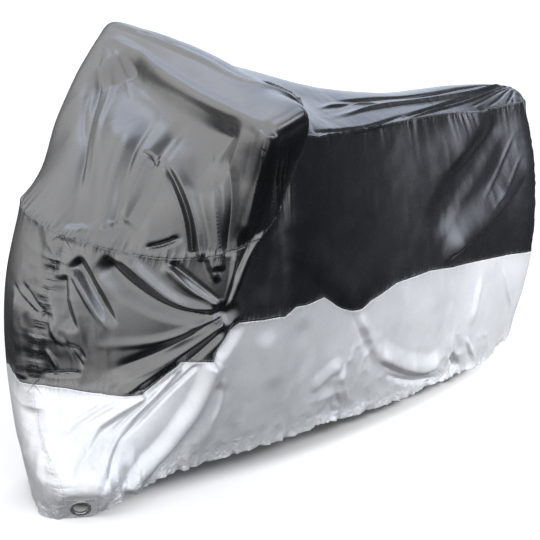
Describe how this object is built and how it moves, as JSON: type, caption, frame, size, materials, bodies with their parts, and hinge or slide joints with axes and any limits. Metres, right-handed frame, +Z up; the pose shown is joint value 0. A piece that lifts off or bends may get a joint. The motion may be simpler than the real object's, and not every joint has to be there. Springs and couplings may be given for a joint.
{
  "type": "motorcycle cover",
  "caption": "Draped two-tone weather cover for a parked motorcycle: peaked hood over the handlebar, long top, sides, light skirt to the hem, and a pressed eyelet.",
  "frame": {"origin": "on the underside of the top panel, where the seat of the covered machine carries the cloth", "axes": "+X forward along the covered machine, +Y to its left, +Z up"},
  "size_m": [2.1256, 0.8423, 1.2149],
  "materials": {
    "dark_cloth": "coated plain-weave polyester, satin, near black with a cool sheen",
    "silver_cloth": "silver-coated plain-weave polyester, satin",
    "eyelet_metal": "pressed nickel-plated ring, worn satin"
  },
  "bodies": {
    "root": {"hood": "dark_cloth", "top_panel": "dark_cloth", "side_left": "dark_cloth", "side_right": "dark_cloth", "skirt_left": "silver_cloth", "skirt_right": "silver_cloth", "eyelet_patch": "silver_cloth", "eyelet": "eyelet_metal"}
  },
  "joints": []
}
